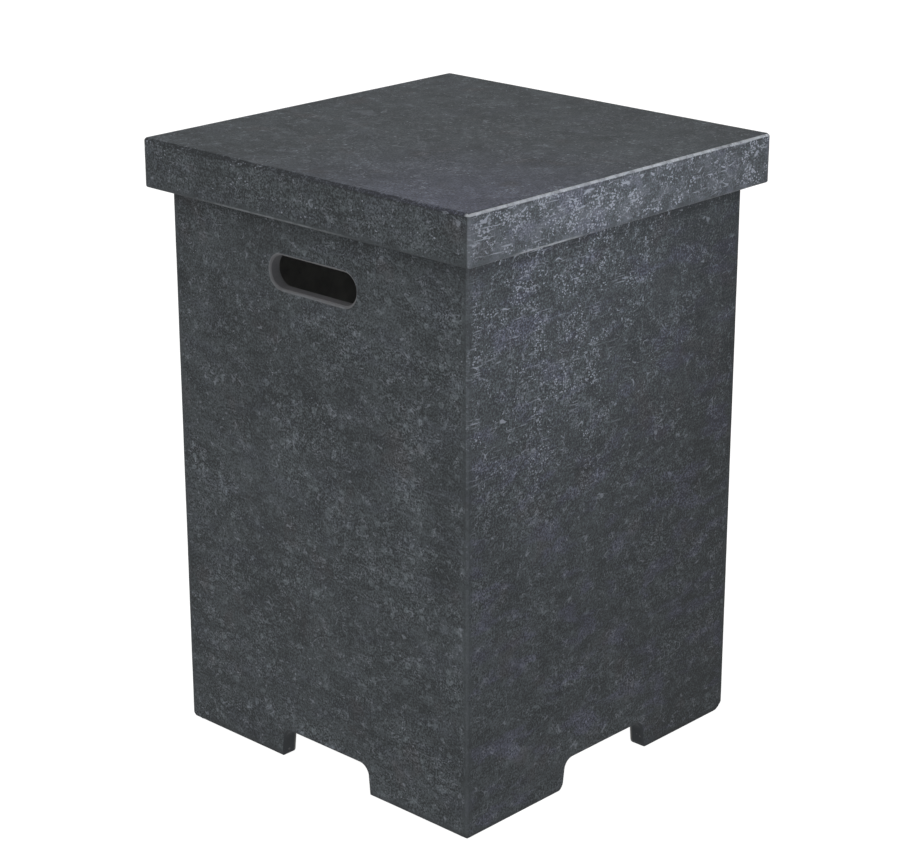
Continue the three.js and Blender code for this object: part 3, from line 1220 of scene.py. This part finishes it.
@dataclass
class ConcreteShell(Casting):
    """The hollow shell: four walls on four feet, with a handle slot front and back."""

    node: str = "body_shell"
    body: str = "cover"
    rim_wall: float = 13 * MM
    foot_wall: float = 16 * MM
    corner: float = 3.5 * MM
    front_corner: float = 2.5 * MM
    least_relief: float = 0.3
    relief_reach: float = 14 * MM
    rim_edge: float = 3 * MM
    sole_edge: float = 2 * MM
    inner_corner: float = 18 * MM
    inner_steps: int = 10
    slot_size: tuple[float, float] = (111.5 * MM, 31.5 * MM)
    slot_drop: float = 84 * MM
    slot_shift: float = -1.5 * MM
    slot_edge: float = 2 * MM
    slot_steps: int = 14
    slot_roundness: float = 0.999
    notch_size: tuple[float, float] = (115.5 * MM, 30 * MM)
    notch_corner: float = 12 * MM
    notch_steps: int = 8
    notch_splay: float = 2 * MM
    notch_shift: float = 4 * MM
    notch_edge: float = 1.8 * MM
    notch_edge_steps: int = 3
    side_toes: tuple[float, float] = (9 * MM, 5.5 * MM)
    toe_turns: tuple[float, ...] = (0.0, 0.3, 0.6, 0.85, 1.1, 1.3, 1.45)
    knocks: tuple[tuple[float, float], ...] = ((18 * MM, 16 * MM), (10 * MM, 10 * MM))
    pitch: float = 3.4 * MM
    reliefs: tuple[Relief, ...] = (
        Relief("shell_waves", 60 * MM, 0.7 * MM),
        Relief("shell_dents", 9 * MM, 0.5 * MM, 3),
    )

    def build(self) -> bpy.types.Object:
        """Models the shell, dresses it, puts it on its body and returns it."""
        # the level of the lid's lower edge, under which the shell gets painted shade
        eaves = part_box("lid")[0].z
        face = StoneFinish("shell_face", self.high.x, self.low.z, self.high.z, eaves=eaves)
        piece = self.block("concrete_shell", face)
        plain = PlainCastFinish("shell_plain", self.high.x, self.foot_wall, self.rim_wall, self.high.z)
        inside = plain.material()
        for axis in (Axis.Z, Axis.X, Axis.Y):
            piece.slice_along(axis, self.pitch, shortest=self.high.x)
        for cutter in [*self.notches(), *self.slots(), self.well()]:
            cutter.object.data.materials.append(inside)
            piece.subtract(cutter)
        self.wear_feet(piece)
        return self.complete(piece)

    def level_radius(self, upper: bool) -> float:
        """Returns the radius of the block's upper or lower edges."""
        return self.rim_edge if upper else self.sole_edge

    def relief_weight(self, place: Vector) -> float:
        """Returns how deep the relief is at a place: less near the edges, and none within the wall."""
        if self.high.x - max(abs(place.x), abs(place.y)) > self.notch_edge:
            return 0.0
        return self.relief_near_edges(place)

    def wall_at(self, level: float) -> float:
        """Returns how thick the walls are at a level."""
        share = (level - self.low.z) / (self.high.z - self.low.z)
        return self.foot_wall + share * (self.rim_wall - self.foot_wall)

    def wear_feet(self, piece: Workpiece) -> None:
        """Takes off the outer corners of the two feet that have been knocked."""
        for side, (width, height) in zip((1, -1), self.knocks):
            corner = Vector((side * self.high.x, side * self.high.y, self.low.z))
            piece.knock_off(corner, Vector((-side * width, -side * width, height)))

    def well(self) -> Workpiece:
        """Returns the cutter that hollows the shell, with rounded corners, a taper and flared ends."""
        flare = Flare(self.rim_edge)
        low, high = self.low.z + flare.radius, self.high.z - flare.radius
        halves = [self.high.x - self.wall_at(level) for level in (low, high)]
        top = halves[1]
        cutter = Workpiece("well", (-top, -top, low), (top, top, high))
        cutter.bevel(spans(Axis.Z, top), self.inner_corner, self.inner_steps)
        for axis in (Axis.Z, Axis.X, Axis.Y):
            cutter.slice_along(axis, self.inner_pitch, shortest=self.high.x)
        cutter.taper(low, high, halves[0] / top)
        for end, half in zip((low, high), halves):
            cutter.flare_end(Axis.Z, end, flare, Vector((half, half, 0)), Vector((0, 0, (low + high) / 2)))
        return cutter

    def slots(self) -> list[Workpiece]:
        """Models the two handle slots.

        Returns:
            The cutters, with softly rounded rims.
        """
        length, height = self.slot_size
        level = self.high.z - self.slot_drop
        flare = Flare(self.slot_edge)
        cutters = []
        for side in (-1, 1):
            middle = -side * self.slot_shift
            inner = self.high.y - self.wall_at(level) + flare.radius
            faces = sorted((side * (self.high.y - flare.radius), side * inner))
            low = Vector((middle - length / 2, faces[0], level - height / 2))
            high = Vector((middle + length / 2, faces[1], level + height / 2))
            cutter = Workpiece("slot", low, high)
            cutter.bevel(spans(Axis.Y, MM), self.slot_roundness * height / 2, self.slot_steps)
            half = Vector((length / 2, 0, height / 2))
            for end in faces:
                cutter.flare_end(Axis.Y, end, flare, half, (low + high) / 2)
            cutters.append(cutter)
        return cutters

    def notches(self) -> list[Workpiece]:
        """Models the floor notches.

        Returns:
            The cutters, each of which goes through two opposite walls.
        """
        plain_toes = (self.sole_edge, self.sole_edge)
        return [self.notch(Axis.Y, Axis.X, plain_toes), self.notch(Axis.X, Axis.Y, self.side_toes)]

    def notch(self, along: Axis, across: Axis, toes: tuple[float, float]) -> Workpiece:
        """Models one floor notch, which goes through two opposite walls.

        Args:
            along: The axis that it goes along.
            across: The axis of its width.
            toes: How round the feet are beside it, on the lower and on the higher side of that axis.

        Returns:
            The cutter.
        """
        width, height = self.notch_size
        flare = Flare(self.notch_edge, segments=self.notch_edge_steps)
        middle = across.vector(self.notch_shift) + Axis.Z.vector(self.low.z)
        reach = along.vector(self.high.x - flare.radius)
        low = middle - across.vector(width / 2) - reach - Axis.Z.vector(flare.overrun)
        high = middle + across.vector(width / 2) + reach + Axis.Z.vector(height)
        cutter = Workpiece("notch", low, high)
        through = spans(along, MM)
        cutter.bevel(
            lambda edge: through(edge) and all(v.co.z > high.z - MM for v in edge.verts),
            self.notch_corner,
            self.notch_steps,
        )
        levels = self.jamb_levels(toes)
        for rise in levels:
            cutter.cut_level(Axis.Z, middle.z + rise)
        for side, toe in zip((-1, 1), toes):
            for rise in [*levels, -flare.overrun]:
                outwards = across.vector(side * self.jamb_spread(max(rise, min(levels)), toe))
                cutter.shift_side(middle.z + rise, middle, outwards)
        half = across.vector(width / 2) + Axis.Z.vector(height)
        for end in (reach[along.value], -reach[along.value]):
            cutter.flare_end(along, end, flare, half, middle)
        return cutter

    def jamb_levels(self, toes: tuple[float, float]) -> list[float]:
        """Returns the heights over the sole, from high to low, where the two jambs of a notch bend."""
        rises = {
            round(toe * (1 - math.sin(turn)) / NEAR) * NEAR for toe in toes for turn in self.toe_turns
        }
        return sorted(rises, reverse=True)

    def jamb_spread(self, rise: float, toe: float) -> float:
        """Works out how far a notch's jamb stands out at a height.

        Args:
            rise: The height over the sole.
            toe: The radius at which the jamb runs out into the sole.

        Returns:
            The distance from where the jamb would be if it were upright.
        """
        straight = self.notch_size[1] - self.notch_corner
        splay = self.notch_splay * max(1 - rise / straight, 0)
        if rise >= toe:
            return splay
        return splay + toe * (1 - math.sqrt(1 - (1 - rise / toe) ** 2))


@dataclass
class CapLid(Casting):
    """The cap lid: a slab with a skirt that hangs round the shell's rim."""

    node: str = "lid"
    body: str = "lid"
    slab: float = 15 * MM
    skirt: float = 15 * MM
    corner: float = 6 * MM
    front_corner: float = 2.2 * MM
    least_relief: float = 0.35
    relief_reach: float = 8 * MM
    top_relief: float = 0.2
    top_edge: float = 4 * MM
    skirt_edge: float = 3 * MM
    hollow_edge: float = 2 * MM
    inner_corner: float = 8 * MM
    inner_steps: int = 6
    pitch: float = 2 * MM
    reliefs: tuple[Relief, ...] = (
        Relief("lid_waves", 45 * MM, 0.7 * MM),
        Relief("lid_dents", 7 * MM, 0.45 * MM, 3),
    )

    def build(self) -> bpy.types.Object:
        """Models the lid, dresses it, puts it on its body and returns it."""
        piece = self.block("concrete_lid", self.face())
        plain = PlainCastFinish("lid_plain", self.high.x, self.skirt, self.skirt, self.high.z)
        for axis in (Axis.X, Axis.Y):
            piece.slice_along(axis, self.pitch, shortest=self.high.x)
        piece.slice_along(Axis.Z, self.pitch, shortest=(self.high.z - self.low.z) / 2)
        hollow = self.hollow()
        hollow.object.data.materials.append(plain.material())
        piece.subtract(hollow)
        return self.complete(piece)

    def face(self) -> StoneFinish:
        """Returns the lid's finish, whose second coat, painted light, covers one side from end to end."""
        return StoneFinish(
            "lid_face",
            self.high.x,
            self.low.z,
            self.high.z,
            # the second coat, painted light, covers the whole +X side
            painted_light_spot=(self.high.x / MM, 0.0, self.high.z / MM),
            painted_light_reach=2000.0,
            stain=(0.0298, 0.0344, 0.0372),
            crown_painted_light=0.27,
            painted_light_wash=0.17,
            speck_strength=1.2,
            blob_strength=0.45,
            least_brush=0.65,
            foot_painted_shade=0.0,
            # pale lines on the lid's lower edges: wear and painted highlight
            worn_and_highlight_spots=(
                WornAndHighlightSpot((-33.0, -self.high.y / MM, self.low.z / MM), reach=120.0, wear=0.16),
                WornAndHighlightSpot((self.high.x / MM, -110.0, self.low.z / MM), reach=55.0, wear=0.4),
            ),
        )

    def level_radius(self, upper: bool) -> float:
        """Returns the radius of the block's upper or lower edges."""
        return self.top_edge if upper else self.skirt_edge

    def hollow(self) -> Workpiece:
        """Returns the cutter that hollows the lid from below."""
        flare = Flare(self.hollow_edge)
        inset = Vector((self.skirt, self.skirt, 0))
        low = self.low + inset + Axis.Z.vector(flare.radius)
        high = self.high - inset - Axis.Z.vector(self.slab)
        cutter = Workpiece("hollow", low, high)
        cutter.bevel(spans(Axis.Z, MM), self.inner_corner, self.inner_steps)
        for axis in (Axis.X, Axis.Y):
            cutter.slice_along(axis, self.inner_pitch, shortest=self.high.x)
        half = Vector((high.x, high.y, 0))
        cutter.flare_end(Axis.Z, low.z, flare, half, (low + high) / 2)
        return cutter

    def relief_weight(self, place: Vector) -> float:
        """Returns how deep the relief is at a place: little on the trowelled top and near the edges."""
        if place.z > self.high.z - MM / 2:
            return self.top_relief
        return self.relief_near_edges(place)


@dataclass
class RubberDiscs:
    """The rubber discs under the lid and under the feet, each with a round lower rim."""

    groups: tuple[tuple[str, str], ...] = (("lid_bumper", "lid"), ("foot_pad", "cover"))
    rim_share: float = 0.8
    rim_steps: int = 5
    smooth_angle: float = math.radians(40)
    slot_name: str = "rubber"

    def build(self) -> list[str]:
        """Models one disc of each group, copies it to the places of the others, and dresses them all.

        Returns:
            The names of the discs.
        """
        rubber = RubberFinish().material()
        made = []
        for prefix, body in self.groups:
            nodes = [name for name in sorted(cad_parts) if name.startswith(prefix)]
            first = self.disc(nodes[0])
            first.object.data.materials.append(rubber)
            start = self.middle(nodes[0])
            copies = [first.copy(f"{name}_disc", self.middle(name) - start) for name in nodes[1:]]
            for disc, node in zip([first, *copies], nodes):
                finished = mount(disc.finish(self.smooth_angle), body, node)
                made.append(finished.name)
        return made

    def middle(self, node: str) -> Vector:
        """Returns the middle of a disc's box."""
        low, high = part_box(node)
        return (low + high) / 2

    def disc(self, node: str) -> Workpiece:
        """Models one disc.

        Args:
            node: The node whose box it fills.

        Returns:
            The disc.
        """
        low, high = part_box(node)
        piece = Workpiece(f"{node}_disc", low, high, Form.CYLINDER)
        piece.bevel(
            lambda edge: all(v.co.z < low.z + NEAR for v in edge.verts),
            self.rim_share * (high.z - low.z),
            self.rim_steps,
        )
        return piece


@dataclass(frozen=True)
class Softbox:
    """A square light.

    Attributes:
        name: Its name.
        place: Where it hangs.
        size: The length of its sides.
        power: Its power in watts.
        colour: Its colour.
        aim: The point that it faces.
        spread: How wide its grid lets it shine, in radians.
    """

    name: str
    place: Place
    size: float
    power: float
    colour: Colour = WHITE
    aim: Place = TABLE_MIDDLE
    spread: float = math.pi

    def hang(self) -> None:
        """Hangs the light in the scene."""
        data = bpy.data.lights.new(self.name, "AREA")
        data.size = self.size
        data.energy = self.power
        data.color = self.colour
        data.spread = self.spread
        light = bpy.data.objects.new(self.name, data)
        light.location = self.place
        light.rotation_euler = (Vector(self.aim) - light.location).to_track_quat("-Z", "Y").to_euler()
        bpy.context.scene.collection.objects.link(light)


@dataclass
class Studio:
    """The pale floor, the soft lights and the camera."""

    azimuth: float = 43.222
    elevation: float = 19.574
    distance: float = 2.4614
    aim: Place = TABLE_MIDDLE
    slide: tuple[float, float] = (1.37 * MM, 1.96 * MM)
    lens: float = 98.385
    floor_size: float = 40.0
    floor_colour: Colour = (0.12, 0.12, 0.12)
    floor_glow: float = 1.0
    floor_roughness: float = 0.9
    floor_sheen: float = 0.1
    air: float = 0.62
    softboxes: tuple[Softbox, ...] = (
        Softbox("left_softbox", (-1.4, -2.2, 1.9), 1.6, 23.0),
        Softbox("right_softbox", (0.95, -0.5, 0.6), 0.35, 1.85, COOL_WHITE),
        Softbox("lid_spot", (1.6, -0.05, 0.8), 0.3, 0.27, COOL_WHITE, aim=(0.2, 0.03, 0.63), spread=0.45),
        Softbox("rim_softbox", (0.05, 2.2, 2.1), 0.45, 6.0),
        Softbox("top_softbox", (0.3, -0.9, 2.6), 1.2, 19.5),
    )

    def build(self) -> None:
        """Sets up the whole studio."""
        bpy.context.scene.view_settings.view_transform = "Standard"
        self.place_camera()
        self.lay_floor()
        self.fill_world()
        for softbox in self.softboxes:
            softbox.hang()

    def place_camera(self) -> None:
        """Puts the camera at the viewing angle, and gives it to the scene."""
        turn, lift = math.radians(self.azimuth), math.radians(self.elevation)
        back = Vector((math.sin(turn) * math.cos(lift), -math.cos(turn) * math.cos(lift), math.sin(lift)))
        right = Vector((math.cos(turn), math.sin(turn), 0))
        above = back.cross(right)
        data = bpy.data.cameras.new("camera")
        data.lens = self.lens
        camera = bpy.data.objects.new("camera", data)
        camera.location = Vector(self.aim) + self.distance * back
        camera.location += self.slide[0] * right + self.slide[1] * above
        camera.rotation_euler = (-back).to_track_quat("-Z", "Y").to_euler()
        bpy.context.scene.collection.objects.link(camera)
        bpy.context.scene.camera = camera

    def lay_floor(self) -> None:
        """Lays the pale floor, lit from below like a light table, which isn't part of the object."""
        bpy.ops.object.select_all(action="DESELECT")
        bpy.ops.mesh.primitive_plane_add(size=self.floor_size)
        floor = bpy.context.object
        floor.name = "floor"
        sheet = NodeSheet("floor_paint")
        sheet.cover(self.floor_colour, self.floor_roughness, self.floor_sheen)
        sheet.shader.inputs["Emission Color"].default_value = (*WHITE, 1.0)
        sheet.shader.inputs["Emission Strength"].default_value = self.floor_glow
        floor.data.materials.append(sheet.material)

    def fill_world(self) -> None:
        """Fills the world with an even white light."""
        world = bpy.data.worlds.new("studio_air")
        world.use_nodes = True
        background = world.node_tree.nodes["Background"]
        background.inputs["Color"].default_value = (*WHITE, 1.0)
        background.inputs["Strength"].default_value = self.air
        bpy.context.scene.world = world


def main() -> None:
    """Builds the studio and every piece, and reports each one."""
    logging.basicConfig(level=logging.INFO, format="%(message)s")
    Studio().build()
    for part in (ConcreteShell(), CapLid()):
        made = part.build()
        LOG.info("%s: %d faces on %s", made.name, len(made.data.polygons), part.body)
    LOG.info("rubber discs: %s", ", ".join(RubberDiscs().build()))


if __name__ == "__main__":
    main()
